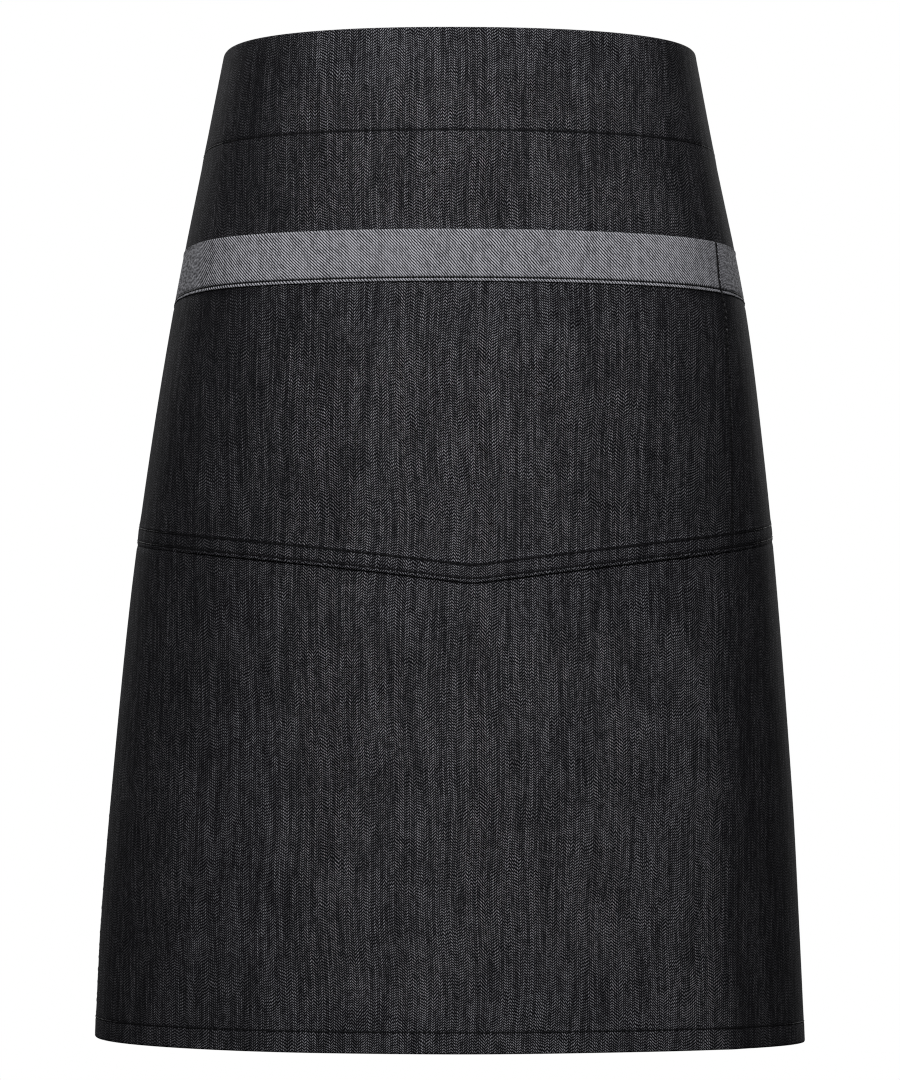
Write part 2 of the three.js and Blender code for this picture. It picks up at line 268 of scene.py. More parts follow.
def mesh_piece(name, points, faces, flat, finishes, finish_of, rub_and_painted_shade):
    """A mesh object from points in millimetres, with its flat cloth places as its UV map."""
    mesh = bpy.data.meshes.new(name)
    mesh.from_pydata((points / 1000).tolist(), [], faces)
    corner = np.zeros(len(mesh.loops), int)
    mesh.loops.foreach_get("vertex_index", corner)
    uv = mesh.uv_layers.new(name="cloth")
    uv.data.foreach_set("uv", (flat[corner] / 1000).ravel())
    # The attribute carries rubbing with a painted highlight at the rims, and painted shade along the
    # rows.
    rub_and_shade_layer = mesh.attributes.new("rub_and_painted_shade", "FLOAT", "POINT")
    rub_and_shade_layer.data.foreach_set("value", np.asarray(rub_and_painted_shade, float).ravel())
    for finish in finishes:
        mesh.materials.append(finish)
    mesh.polygons.foreach_set("material_index", finish_of)
    mesh.polygons.foreach_set("use_smooth", [True] * len(mesh.polygons))
    mesh.validate()
    piece = bpy.data.objects.new(name, mesh)
    bpy.context.scene.collection.objects.link(piece)
    return piece


def cloth_piece(name, u, v, outer, inner, finishes, shade=0.0, turned=1, face_margin=0.0, rubbed_rim_highlight=0.6):
    """A closed sheet with rounded edges, laid on the worn form between outer and inner."""
    rows, cols = u.shape
    count = rows * cols
    edge = np.minimum(np.minimum(u - u[:, :1], u[:, -1:] - u), np.minimum(v - v[:1], v[-1:] - v))
    middle, half = (outer + inner) / 2, (outer - inner) / 2
    crown = np.sqrt(1 - (1 - np.clip(edge / half, 0, 1)) ** 2)
    over = lay(u, v, middle + half * crown)[0]
    under = lay(u, v, middle - half * crown)[0]
    top = np.arange(count).reshape(rows, cols)
    below = top.copy()
    below[1:-1, 1:-1] = count + np.arange((rows - 2) * (cols - 2)).reshape(rows - 2, cols - 2)
    quads = []
    for at in (top, below):
        ring = np.stack([at[:-1, :-1], at[1:, :-1], at[1:, 1:], at[:-1, 1:]], axis=2).reshape(-1, 4)
        quads.append(ring if at is top else ring[:, ::-1])
    near = edge[:-1, :-1].ravel() < face_margin
    finish_of = np.concatenate([np.zeros(len(near), int), np.where(near, 0, 1)])
    if len(finishes) == 1:
        finish_of[:] = 0
    keep = (slice(1, -1), slice(1, -1))
    points = np.concatenate([over.reshape(-1, 3), under[keep].reshape(-1, 3)])
    flat = np.stack([turned * u, -v], axis=2)
    flat = np.concatenate([flat.reshape(-1, 2), flat[keep].reshape(-1, 2)])
    # Each edge's rim is painted paler, partly as rubbing and partly as a painted highlight on the fold,
    # less towards the hips; shade is painted shade along the rows.
    rub_and_painted_shade = rubbed_rim_highlight * np.exp(-edge / 1.1) * (1 - 0.75 * side_pull(u)) - shade
    rub_and_painted_shade = np.concatenate([rub_and_painted_shade.ravel(), rub_and_painted_shade[keep].ravel()])
    faces = np.concatenate(quads).tolist()
    return mesh_piece(name, points, faces, flat, finishes, finish_of, rub_and_painted_shade)


def linear(hex_colour):
    """An sRGB hex colour as the linear values that a shader takes."""
    parts = [int(hex_colour[i : i + 2], 16) / 255 for i in (1, 3, 5)]
    return [p / 12.92 if p <= 0.04045 else ((p + 0.055) / 1.055) ** 2.4 for p in parts] + [1.0]


def add_node(tree, kind, settings={}, inputs={}):
    """Adds a node with its settings, and sets or links its inputs."""
    node = tree.nodes.new(kind)
    for key, value in settings.items():
        setattr(node, key, value)
    for key, value in inputs.items():
        if isinstance(value, bpy.types.Node):
            value = value.outputs[0]
        if isinstance(value, bpy.types.NodeSocket):
            tree.links.new(value, node.inputs[key])
        else:
            node.inputs[key].default_value = value
    return node


# Settings that many nodes share, and how far the drawn yarns wander and change.
smooth = {"interpolation_type": "SMOOTHSTEP"}
flat_noise = {"noise_dimensions": "2D"}
times = {"operation": "MULTIPLY"}
wander_span = 100.0
wander_wales = 6.0
slip_span = 16.667
wale_apart = 7.3
strength_change = 0.036


def new_finish(name):
    finish = bpy.data.materials.new(name)
    finish.use_nodes = True
    finish.node_tree.nodes.clear()
    return finish, finish.node_tree


def twill_yarns(tree, wale, weft, run, broken=False):
    """Twill drawn on the flat cloth: its wave of yarn floats, and how strong each wale is.

    In broken twill each wale leans its own way, and starts where it will.
    """
    cloth = add_node(tree, "ShaderNodeUVMap", {"uv_map": "cloth"})
    per_yarn = (1000 / wale, 1000 / weft, 0)
    flat = add_node(tree, "ShaderNodeVectorMath", times, {0: cloth, 1: per_yarn})
    place = add_node(tree, "ShaderNodeSeparateXYZ", {}, {0: flat})
    bend = add_node(
        tree, "ShaderNodeTexNoise", flat_noise,
        {"Vector": cloth, "Scale": 1000 / wander_span, "Detail": 1.0},
    )
    sideways = add_node(
        tree, "ShaderNodeMath", {"operation": "MULTIPLY_ADD"},
        {0: bend, 1: wander_wales, 2: place.outputs["X"]},
    )
    column = add_node(tree, "ShaderNodeMath", {"operation": "FLOOR"}, {0: sideways})
    within = add_node(tree, "ShaderNodeMath", {"operation": "FRACT"}, {0: sideways})
    chance = add_node(tree, "ShaderNodeTexWhiteNoise", {"noise_dimensions": "1D"}, {"W": column})
    drawn = add_node(tree, "ShaderNodeSeparateColor", {}, {0: chance.outputs["Color"]})
    if broken:
        side = add_node(
            tree, "ShaderNodeMath", {"operation": "GREATER_THAN"}, {0: drawn.outputs["Green"], 1: 0.5}
        )
        lean = add_node(tree, "ShaderNodeMapRange", {}, {"Value": side, "To Min": 1.0, "To Max": -1.0})
        rise = add_node(tree, "ShaderNodeMath", times, {0: within, 1: lean})
    else:
        rise = add_node(tree, "ShaderNodeMath", times, {0: sideways, 1: -1.0})
    most = 0.8 if broken else 0.12
    jump = add_node(tree, "ShaderNodeMath", times, {0: drawn.outputs["Red"], 1: most})
    wander = add_node(
        tree, "ShaderNodeTexNoise", flat_noise,
        {"Vector": cloth, "Scale": 1000 / slip_span, "Detail": 2.0},
    )
    slip = add_node(tree, "ShaderNodeMath", times, {0: wander, 1: run})
    phase = place.outputs["Y"]
    for shift in (rise, jump, slip):
        phase = add_node(tree, "ShaderNodeMath", {"operation": "ADD"}, {0: phase, 1: shift})
    turns = add_node(tree, "ShaderNodeMath", times, {0: phase, 1: 2 * np.pi})
    wave = add_node(tree, "ShaderNodeMath", {"operation": "COSINE"}, {0: turns})
    cell = add_node(tree, "ShaderNodeMath", {"operation": "FLOOR"}, {0: phase})
    # Each float draws its own luck, and each wale its own strength, which changes along it over
    # about 28 floats. Wales lie several steps apart in that noise, so that neighbours differ.
    spot = add_node(tree, "ShaderNodeCombineXYZ", {}, {"X": column, "Y": cell})
    luck = add_node(tree, "ShaderNodeTexWhiteNoise", flat_noise, {"Vector": spot})
    apart = add_node(tree, "ShaderNodeMath", times, {0: column, 1: wale_apart})
    slow = add_node(tree, "ShaderNodeMath", times, {0: place.outputs["Y"], 1: strength_change})
    yarn = add_node(tree, "ShaderNodeCombineXYZ", {}, {"X": apart, "Y": slow})
    strength = add_node(
        tree, "ShaderNodeTexNoise", flat_noise, {"Vector": yarn, "Scale": 1.0, "Detail": 1.0}
    )
    return cloth, wave, within, strength, luck


# Black broken-twill denim, ring-dyed and unwashed: matt black warp with pale weft showing through
# as short slanted flecks in upright columns. The real wales are 0.95 mm apart, drawn 1.15 mm so
# that they show, and the flecks repeat every 1.36 mm down the cloth.
denim_face, tree = new_finish("black_denim_face")
cloth, wave, within, strength, luck = twill_yarns(tree, wale=1.15, weft=1.36, run=3.0, broken=True)
fleck = add_node(tree, "ShaderNodeMapRange", smooth, {"Value": wave, "From Min": 0.6, "From Max": 1.0})
arch = add_node(tree, "ShaderNodeMath", {"operation": "PINGPONG"}, {0: within, 1: 0.5})
body = add_node(
    tree, "ShaderNodeMapRange", smooth,
    {"Value": arch, "From Min": 0.1, "From Max": 0.36, "To Min": 0.16},
)
# The dye is uneven in upright streaks about 16 mm wide and 67 mm long, and in clouds 24 mm across.
streak_width = 15.625
streak_length = 66.667
cloud_size = 23.81
per_streak = (1000 / streak_width, 1000 / streak_length, 0.0)
streak_scale = add_node(tree, "ShaderNodeVectorMath", times, {0: cloth, 1: per_streak})
streak = add_node(
    tree, "ShaderNodeTexNoise", flat_noise,
    {"Vector": streak_scale, "Scale": 1.0, "Detail": 2.0, "Roughness": 0.5},
)
streaks = add_node(
    tree, "ShaderNodeMapRange", {},
    {"Value": streak, "From Min": 0.35, "From Max": 0.65, "To Min": 1.68, "To Max": 1.94},
)
column_tone = add_node(
    tree, "ShaderNodeMapRange", {},
    {"Value": strength, "From Min": 0.32, "From Max": 0.68, "To Min": 0.42, "To Max": 1.14},
)
single = add_node(tree, "ShaderNodeMapRange", {}, {"Value": luck, "To Min": 0.22, "To Max": 0.95})
mottle = add_node(
    tree, "ShaderNodeTexNoise", flat_noise, {"Vector": cloth, "Scale": 1000 / cloud_size, "Detail": 2.0}
)
mottled = add_node(
    tree, "ShaderNodeMapRange", {},
    {"Value": mottle, "From Min": 0.35, "From Max": 0.65, "To Min": 0.88, "To Max": 1.1},
)
lit = fleck
for share in (body, mottled, streaks, column_tone, single):
    lit = add_node(tree, "ShaderNodeMath", times, {0: lit, 1: share})
# Painted shade: towards the sides the flecks are darkened until they sink into an even black, over a
# wide stretch on the left, and up to the crease on the right as the crease's shadow. Both reach less
# far near the waist, and the lower part is painted a little darker.
flat_place = add_node(tree, "ShaderNodeSeparateXYZ", {}, {0: cloth})
rightward = flat_place.outputs["X"]
upward = flat_place.outputs["Y"]
leftward = add_node(tree, "ShaderNodeMath", times, {0: rightward, 1: -1.0})
even = add_node(tree, "ShaderNodeMath", {"operation": "MULTIPLY_ADD"}, {0: lit, 1: 0.26, 2: 0.0048})
left_end = add_node(
    tree, "ShaderNodeMapRange", smooth,
    {"Value": upward, "From Min": -0.05, "From Max": -0.35, "To Min": 0.109, "To Max": 0.195},
)
left_side_shade = add_node(
    tree, "ShaderNodeMapRange", smooth, {"Value": leftward, "From Min": 0.072, "From Max": left_end}
)
right_start = add_node(
    tree, "ShaderNodeMapRange", smooth,
    {"Value": upward, "From Min": -0.05, "From Max": -0.42, "To Min": 0.072, "To Max": 0.124},
)
right_side_shade = add_node(
    tree, "ShaderNodeMapRange", smooth, {"Value": rightward, "From Min": right_start, "From Max": 0.148}
)
side_shade_share = add_node(tree, "ShaderNodeMath", {"operation": "MAXIMUM"}, {0: left_side_shade, 1: right_side_shade})
side_shade_share = add_node(tree, "ShaderNodeMath", times, {0: side_shade_share, 1: 0.95})
lower = add_node(
    tree, "ShaderNodeMapRange", smooth, {"Value": upward, "From Min": -0.23, "From Max": -0.36}
)
left_painted_shade = add_node(tree, "ShaderNodeMapRange", {}, {"Value": lower, "To Min": 0.4, "To Max": 0.7})
left_painted_shade = add_node(
    tree, "ShaderNodeMapRange", smooth,
    {"Value": leftward, "From Min": 0.015, "From Max": 0.125, "To Min": 1.0, "To Max": left_painted_shade},
)
right_painted_shade = add_node(tree, "ShaderNodeMapRange", {}, {"Value": lower, "To Min": 0.55, "To Max": 0.92})
right_painted_shade = add_node(
    tree, "ShaderNodeMapRange", smooth,
    {"Value": rightward, "From Min": -0.02, "From Max": 0.125, "To Min": 1.0, "To Max": right_painted_shade},
)
lower_painted_shade = add_node(tree, "ShaderNodeMapRange", {}, {"Value": lower, "To Min": 1.0, "To Max": 0.91})
for share in (left_painted_shade, right_painted_shade, lower_painted_shade):
    lit = add_node(tree, "ShaderNodeMath", times, {0: lit, 1: share})
lit = add_node(tree, "ShaderNodeMix", {"data_type": "FLOAT"}, {"Factor": side_shade_share, "A": lit, "B": even})
# A seam's folded edge is painted paler, partly as rubbing and partly as a painted highlight, and the
# cloth beside a row of stitches is painted darker as its shade.
rub_and_shade = add_node(tree, "ShaderNodeAttribute", {"attribute_name": "rub_and_painted_shade"})
pale = add_node(
    tree, "ShaderNodeMapRange", {},
    {"Value": rub_and_shade.outputs["Fac"], "From Min": -1.0, "From Max": 1.0, "To Min": 0.0, "To Max": 2.0},
)
lit = add_node(tree, "ShaderNodeMath", times, {0: lit, 1: pale})
colour = add_node(
    tree, "ShaderNodeMix", {"data_type": "RGBA"},
    {"Factor": lit, 6: linear("#101013"), 7: linear("#f0eff9")},
)
relief = add_node(tree, "ShaderNodeBump", {}, {"Height": lit, "Strength": 0.25, "Distance": 0.00025})
shade = add_node(
    tree, "ShaderNodeBsdfPrincipled", {},
    {
        "Base Color": colour.outputs[2], "Roughness": 0.92, "IOR": 1.5, "Specular IOR Level": 0.06,
        "Normal": relief,
    },
)
add_node(tree, "ShaderNodeOutputMaterial", {}, {"Surface": shade})

# The same denim's reverse: the pale undyed weft lies on top, crossed by dark twill lines that
# gather a little in upright bands. The lines are drawn 1.55 mm apart down the cloth, a little
# coarser than the real ones.
denim_reverse, tree = new_finish("denim_reverse")
cloth, wave, within, strength, luck = twill_yarns(tree, wale=1.45, weft=1.55, run=1.2)
group_width = 4.348
group_length = 50.0
per_group = (1000 / group_width, 1000 / group_length, 0.0)
bands = add_node(tree, "ShaderNodeVectorMath", times, {0: cloth, 1: per_group})
grouped = add_node(
    tree, "ShaderNodeTexNoise", flat_noise, {"Vector": bands, "Scale": 1.0, "Detail": 1.0}
)
open_line = add_node(
    tree, "ShaderNodeMapRange", {},
    {"Value": grouped, "From Min": 0.35, "From Max": 0.65, "To Min": 0.8, "To Max": 1.0},
)
# Towards the ends of the turned-out band the pale is painted darker as shade: its dark lines widen,
# and the pale breaks up into spots about 3 mm wide and 1 mm high.
apart = add_node(tree, "ShaderNodeSeparateXYZ", {}, {0: cloth})
across = add_node(tree, "ShaderNodeMath", {"operation": "ABSOLUTE"}, {0: apart.outputs["X"]})
band_end_shade = add_node(
    tree, "ShaderNodeMapRange", smooth, {"Value": across, "From Min": 0.1, "From Max": 0.17}
)
on_band = add_node(
    tree, "ShaderNodeMapRange", smooth,
    {"Value": apart.outputs["Y"], "From Min": -0.145, "From Max": -0.127},
)
band_end_shade = add_node(tree, "ShaderNodeMath", times, {0: band_end_shade, 1: on_band})
shade_line_shift = add_node(tree, "ShaderNodeMath", times, {0: band_end_shade, 1: 0.35})
spot_width = 3.3333
spot_height = 1.25
per_spot = (1000 / spot_width, 1000 / spot_height, 0.0)
coarse = add_node(tree, "ShaderNodeVectorMath", times, {0: cloth, 1: per_spot})
uneven = add_node(
    tree, "ShaderNodeTexNoise", flat_noise, {"Vector": coarse, "Scale": 1.0, "Detail": 0.0}
)
shaded_spots = add_node(
    tree, "ShaderNodeMapRange", {},
    {"Value": uneven, "From Min": 0.35, "From Max": 0.65, "To Min": 0.3, "To Max": 1.25},
)
# Painted shade: the band's ends break up into darker spots.
broken = add_node(
    tree, "ShaderNodeMix", {"data_type": "FLOAT"}, {"Factor": band_end_shade, "A": 1.0, "B": shaded_spots}
)
narrowed = add_node(tree, "ShaderNodeMath", {"operation": "SUBTRACT"}, {0: wave, 1: shade_line_shift})
line = add_node(
    tree, "ShaderNodeMapRange", smooth, {"Value": narrowed, "From Min": -0.34, "From Max": 0.34}
)
arch = add_node(tree, "ShaderNodeMath", {"operation": "PINGPONG"}, {0: within, 1: 0.5})
body = add_node(
    tree, "ShaderNodeMapRange", smooth,
    {"Value": arch, "From Min": 0.0, "From Max": 0.25, "To Min": 0.7, "To Max": 1.3},
)
single = add_node(tree, "ShaderNodeMapRange", {}, {"Value": luck, "To Min": 0.56, "To Max": 1.16})
pale = line
for share in (body, single, open_line, broken):
    pale = add_node(tree, "ShaderNodeMath", times, {0: pale, 1: share})
crossed = add_node(
    tree, "ShaderNodeMix", {"data_type": "RGBA"},
    {"Factor": pale, 6: linear("#101014"), 7: linear("#f6f6ff")},
)
# Painted shade beside the rows of stitches darkens the reverse.
rub_and_shade = add_node(tree, "ShaderNodeAttribute", {"attribute_name": "rub_and_painted_shade"})
in_shade = add_node(
    tree, "ShaderNodeMath", {"operation": "MULTIPLY", "use_clamp": True},
    {0: rub_and_shade.outputs["Fac"], 1: -1.0},
)
colour = add_node(
    tree, "ShaderNodeMix", {"data_type": "RGBA"},
    {"Factor": in_shade, 6: crossed.outputs[2], 7: linear("#0e0e10")},
)
relief = add_node(tree, "ShaderNodeBump", {}, {"Height": pale, "Strength": 0.3, "Distance": 0.00025})
shade = add_node(
    tree, "ShaderNodeBsdfPrincipled", {},
    {
        "Base Color": colour.outputs[2], "Roughness": 0.9, "IOR": 1.5, "Specular IOR Level": 0.1,
        "Normal": relief,
    },
)
add_node(tree, "ShaderNodeOutputMaterial", {}, {"Surface": shade})


def panel_face(u, v):
    """Relief of the panel's outer face: its sewn rows, and the steps where layers end inside."""
    sides = side_row - np.abs(u)
    out = pressed(v - facing_row) + pressed(v - hem_row) + pressed(sides)
    out = out + puckered(u, v - facing_row) + puckered(u, v - hem_row, 0.22)
    out = out + puckered(v, sides, 0.12)
    under_facing = swell(v, facing_depth + 1, facing_depth - 0.5)
    under_hem = swell(v, hem_top - 1, hem_top + 0.5)
    return out + layer_step * under_facing + layer_step * under_hem


panel_u = seam_steps(-panel_edge, panel_edge, 2.1, (-side_row, side_row))
panel_v = seam_steps(0, panel_length, 5.2, (facing_row, hem_row))
# Finer rows under the pocket's lower edge let the painted shadow below it follow the point.
edge_top = 238.0
edge_foot = 275.0
under_edge = np.arange(edge_top, edge_foot, 1.25)
elsewhere = (panel_v < edge_top - 1) | (panel_v > edge_foot + 0.5)
panel_v = np.sort(np.concatenate([panel_v[elsewhere], under_edge]))
u = np.repeat(panel_u[None, :], len(panel_v), axis=0)
from_corner = np.clip(corner_radius - (panel_edge - np.abs(panel_u)), 0, corner_radius)
rounding = corner_radius - np.sqrt(corner_radius**2 - from_corner**2)
v = panel_v[:, None] * (1 - rounding[None, :] / panel_length)
edge = np.minimum(panel_edge - np.abs(u), np.minimum(v, panel_length - v))
folded = swell(edge, 1.9, 1.3)
outer = panel_face(u, v)
inner = outer - cloth_thickness - folded * (cloth_thickness + layer_gap + 0.2)
# Painted shade: darker along the facing, hem and side rows, and a faint painted shadow just below the
# pocket's edge.
beside_pocket = 1.1 + 1.2 * np.abs(v - pocket_edge(u) - 0.4)
shade = sunk(v - facing_row, 0.3 + np.abs(v - hem_row), side_row - np.abs(u), beside_pocket)
panel = cloth_piece(
    "denim_panel", u, v, outer, inner, [denim_face, denim_reverse], shade, face_margin=2.0
)
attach(panel, "root")
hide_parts("skirt_panel")


# Waist facing
# The top 53 mm of the cloth is turned in and held by one row of stitches. It stiffens the waist.
leaf_edge = panel_edge - 1.0
leaf_outer = -cloth_thickness - layer_gap
leaf_inner = leaf_outer - cloth_thickness
facing_u = seam_steps(-leaf_edge, leaf_edge, 3.0, (-side_row, side_row))
facing_v = seam_steps(1.0, facing_depth, 4.5, (facing_row,))
u, v = np.meshgrid(facing_u, facing_v)
relief = panel_face(u, v)
leaf_back = leaf_inner + relief + pressed(v - facing_row, -0.2)
facing = cloth_piece("denim_facing", u, v, leaf_outer + relief, leaf_back, [denim_face])
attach(facing, "root")
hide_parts("waist_facing")


# Bottom hem
# The lower edge is turned up 11.5 mm inside and held by one row of stitches close to its top.
hem_u = seam_steps(-leaf_edge, leaf_edge, 3.0)
hem_v = seam_steps(hem_top, panel_length - 1.0, 2.5)
u, v = np.meshgrid(hem_u, hem_v)
relief = panel_face(u, v)
hem = cloth_piece("denim_hem", u, v, leaf_outer + relief, leaf_inner + relief, [denim_face])
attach(hem, "root")
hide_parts("bottom_hem")


# Side hems
# Each side edge is turned in 12 mm between the facing and the bottom hem, and sewn down.
side_hem_width = 12.0
for name, sign in (("left", -1), ("right", 1)):
    side_u = np.sort(sign * seam_steps(leaf_edge - side_hem_width, leaf_edge, 2.5))
    side_v = seam_steps(facing_depth + 0.3, hem_top - 0.3, 7.0)
    u, v = np.meshgrid(side_u, side_v)
    relief = panel_face(u, v)
    front, back = leaf_outer + relief, leaf_inner + relief
    side_hem = cloth_piece(f"denim_side_hem_{name}", u, v, front, back, [denim_face])
    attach(side_hem, "root")
    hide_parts(f"side_hem_{name}")


# Pocket
# One wide piece of the same denim lies on the panel, sewn down along its sides and its shallow
# pointed lower edge, with one upright row that parts off a narrow pocket on the wearer's left.
divider = 135.0
divider_low = 139.2
pocket_end = 239.0
pocket_ease = 1.5
pocket_height = 172.0
edge_strip = 20.0
edge_row = 2.1
upper_row = 8.7
turning = 10.3


def divider_line(v):
    """The dividing row steps aside a little below the band."""
    return divider + (divider_low - divider) * swell(v, 118, 136)


def pocket_stand_off(u, v):
    """How far the pocket stands off the panel between its seams: most at the mouth."""
    parting = divider_line(v)
    main = u < parting
    low = np.where(main, -pocket_end, parting)
    high = np.where(main, parting, pocket_end)
    across = np.sin(np.pi * np.clip((u - low) / (high - low), 0, 1))
    reach = np.minimum((high - low) / (parting + pocket_end), 1)
    down = 1 - np.clip((v - mouth) / (pocket_edge(u) - mouth), 0, 1) ** 2
    return pocket_ease * reach * across * down * (1 - side_pull(u))


def pocket_face(u, v):
    """Relief of the pocket's outer face, with its turned-under edge and its rows."""
    below = pocket_edge(u) - v
    flush = side_pull(u)
    turned_edge = swell(below, turning + 0.8, turning - 0.6) * (1 - 0.75 * flush)
    out = 1.0 - 0.55 * flush + 0.65 * turned_edge + pocket_stand_off(u, v)
    out = out - 0.45 * swell(below, 1.2, 0)
    out = out + pressed(below - edge_row, 0.34) + pressed(below - upper_row, 0.3)
    out = out + puckered(u, below - upper_row, 0.22) + puckered(u + 40, below - edge_row, 0.1)
    return out + pressed(u - divider_line(v), 0.4) + puckered(v, u - divider_line(v), 0.12)


pocket_u = seam_steps(-pocket_end, pocket_end, 2.2, (point, divider, divider_low))
# Rows of points follow the pointed edge over a strip of 20 mm, and even out towards the mouth.
heights = seam_steps(0, pocket_height, 5.0, (edge_row, upper_row, turning))[::-1]
edge_at = pocket_edge(pocket_u)[None, :]
low_rows = np.minimum(heights, edge_strip)[:, None]
high_rows = np.maximum(heights - edge_strip, 0.0)[:, None]
evened = (edge_at - edge_strip - (mouth + 1.0)) / (pocket_height - edge_strip)
v = edge_at - low_rows - high_rows * evened
u = np.repeat(pocket_u[None, :], len(heights), axis=0)
outer = pocket_face(u, v)
below = edge_at - v
inner = np.where(below < turning, layer_gap, outer - cloth_thickness * (1 - 0.6 * side_pull(u)))
# Painted shade along the pocket's two edge rows and its divider, and a painted shadow just below the
# band.
beside_divider = 0.2 + np.abs(u - divider_line(v))
below_band = 0.4 + np.abs(v - band_foot - 0.6)
shade = sunk(below - edge_row, below - upper_row, beside_divider, below_band)
# The folded lower edge is painted much paler, partly as rubbing and mostly as a painted highlight.
pocket = cloth_piece(
    "denim_pocket", u, v, outer, inner, [denim_face, denim_reverse], shade, face_margin=2.0,
    rubbed_rim_highlight=1.5,
)
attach(pocket, "root")
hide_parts("pocket_panel")


# Pocket band
# The pocket's mouth is finished with a 25 mm band of the denim with its pale reverse turned out.
# It folds over the pocket's top edge and is sewn down by a row close above its lower edge.
band_row = 123.6


def band_face(u, v):
    """Relief of the band's outer face: flat at the mouth, pressed in along its row."""
    out = 2.0 * (1 - 0.55 * side_pull(u)) + pocket_stand_off(u, v) + pressed(v - band_row, 0.5, 0.7)
    out = out + puckered(u, v - band_row, 0.1)
    return out + pressed(u - divider_line(v), 0.45, 0.9) + puckered(v, u - divider_line(v), 0.06)


band_u = seam_steps(-pocket_end - 0.4, pocket_end + 0.4, 2.0, (divider,))
band_v = seam_steps(mouth, band_foot, 2.6, (band_row,))
u, v = np.meshgrid(band_u, band_v)
outer = band_face(u, v)
leaf = cloth_thickness * (1 - 0.6 * side_pull(u))
inner = outer - leaf - (leaf + layer_gap) * swell(v, mouth + 1.9, mouth + 1.3)
# Painted shade along the band's row and the divider.
shade = sunk(1.6 * (v - band_row), u - divider_line(v))
band = cloth_piece(
    "reverse_denim_band", u, v, outer, inner, [denim_reverse], shade, turned=-1, rubbed_rim_highlight=0.2
)
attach(band, "root")
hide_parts("pocket_band")


# Ties
# Two straps of black cotton, folded double and edge-stitched to 25 mm, are sewn inside the
# panel's top corners and run round to the back, where they gather into the knot.
tie_thickness = 1.8
tie_centre = -3.5
tie_hug = 0.6
tie_overlap = 22.0
gather_length = 32.0
gathered_width = 17.0
gathered_thickness = 3.4
knot_half = 15.0
tie_bury = 3.0
tie_wave = 0.35
strap_corners = 32
strap_row = 0.84
strap_inside = 60.0

# Black cotton twill for the ties: finer than the denim and without its pale flecks. The real
# twill lines are 0.5 mm apart, drawn 0.8 mm so that they show from near.
tie_cotton, tree = new_finish("black_cotton_twill")
lint_size = 1.4286
cloth, wave, within, strength, luck = twill_yarns(tree, wale=0.8, weft=0.8, run=1.0)
line = add_node(tree, "ShaderNodeMapRange", smooth, {"Value": wave, "From Min": -0.6, "From Max": 0.9})
lint = add_node(
    tree, "ShaderNodeTexNoise", flat_noise, {"Vector": cloth, "Scale": 1000 / lint_size, "Detail": 2.0}
)
tone = add_node(tree, "ShaderNodeMath", times, {0: line, 1: lint})
colour = add_node(
    tree, "ShaderNodeMix", {"data_type": "RGBA"},
    {"Factor": tone, 6: linear("#17181a"), 7: linear("#5c5d60")},
)
rub_and_shade = add_node(tree, "ShaderNodeAttribute", {"attribute_name": "rub_and_painted_shade"})
colour = add_node(
    tree, "ShaderNodeMix", {"data_type": "RGBA"},
    {"Factor": rub_and_shade.outputs["Fac"], 6: colour.outputs[2], 7: linear("#3d3e41")},
)
relief = add_node(tree, "ShaderNodeBump", {}, {"Height": line, "Strength": 0.35, "Distance": 0.0002})
shade = add_node(
    tree, "ShaderNodeBsdfPrincipled", {},
    {
        "Base Color": colour.outputs[2], "Roughness": 0.85, "IOR": 1.5, "Specular IOR Level": 0.2,
        "Normal": relief,
    },
)
add_node(tree, "ShaderNodeOutputMaterial", {}, {"Surface": shade})


def strap_cut(width, thickness, pleats):
    """The outline of a folded strap's cut: across its width, and out of its face."""
    turn = 2 * np.pi * (np.arange(strap_corners) + 0.5) / strap_corners
    across = np.sign(np.cos(turn)) * np.abs(np.cos(turn)) ** 0.55
    out = np.sign(np.sin(turn)) * np.abs(np.sin(turn)) ** 0.35
    dip = 0.22 * np.exp(-(((np.abs(across) - strap_row) / 0.06) ** 2))
    fold = pleats * np.cos(across * 7.5 + 0.8)
    return across * width / 2, out * thickness / 2 * (1 - dip) + fold


def strap_around(across):
    """Flat places round a strap's cut, with its inner face laid beside the outer one."""
    half = strap_corners // 2
    return np.concatenate([across[:half], across[half:] + strap_inside])


def tube_piece(name, rings, lengths, around, finishes):
    """A closed body through rings of points, with a small crown on each end."""
    rings = np.array(rings)
    count, sides = rings.shape[:2]
    at = np.arange(count * sides).reshape(count, sides)
    after = np.roll(at, -1, axis=1)
    quads = np.stack([at[:-1], after[:-1], after[1:], at[1:]], axis=2).reshape(-1, 4)
    faces = quads.tolist()
    centre = rings.mean(axis=1)
    flow = np.cross(rings[0, sides // 4] - centre[0], rings[0, 0] - centre[0])
    inward = np.dot(flow, centre[1] - centre[0]) > 0
    ends = [centre[0], centre[-1]]
    first, last = count * sides, count * sides + 1
    for k in range(sides):
        n = (k + 1) % sides
        faces.append([first, n, k])
        faces.append([last, at[-1, k], at[-1, n]])
    if inward:
        faces = [face[::-1] for face in faces]
    points = np.concatenate([rings.reshape(-1, 3), ends])
    flat = np.stack(
        np.broadcast_arrays(np.asarray(around)[None, :], np.asarray(lengths)[:, None]), axis=2
    )
    flat = np.concatenate([flat.reshape(-1, 2), [[0, lengths[0]], [0, lengths[-1]]]])
    rub_and_painted_shade = np.full(len(points), 0.05)
    return mesh_piece(name, points, faces, flat, finishes, np.zeros(len(faces), int), rub_and_painted_shade)


def tie_depth(share):
    """The tie lies on the facing where it is sewn, and comes free of it past the panel's edge."""
    return tie_centre + tie_hug * swell(share, 0.12, 0.0)


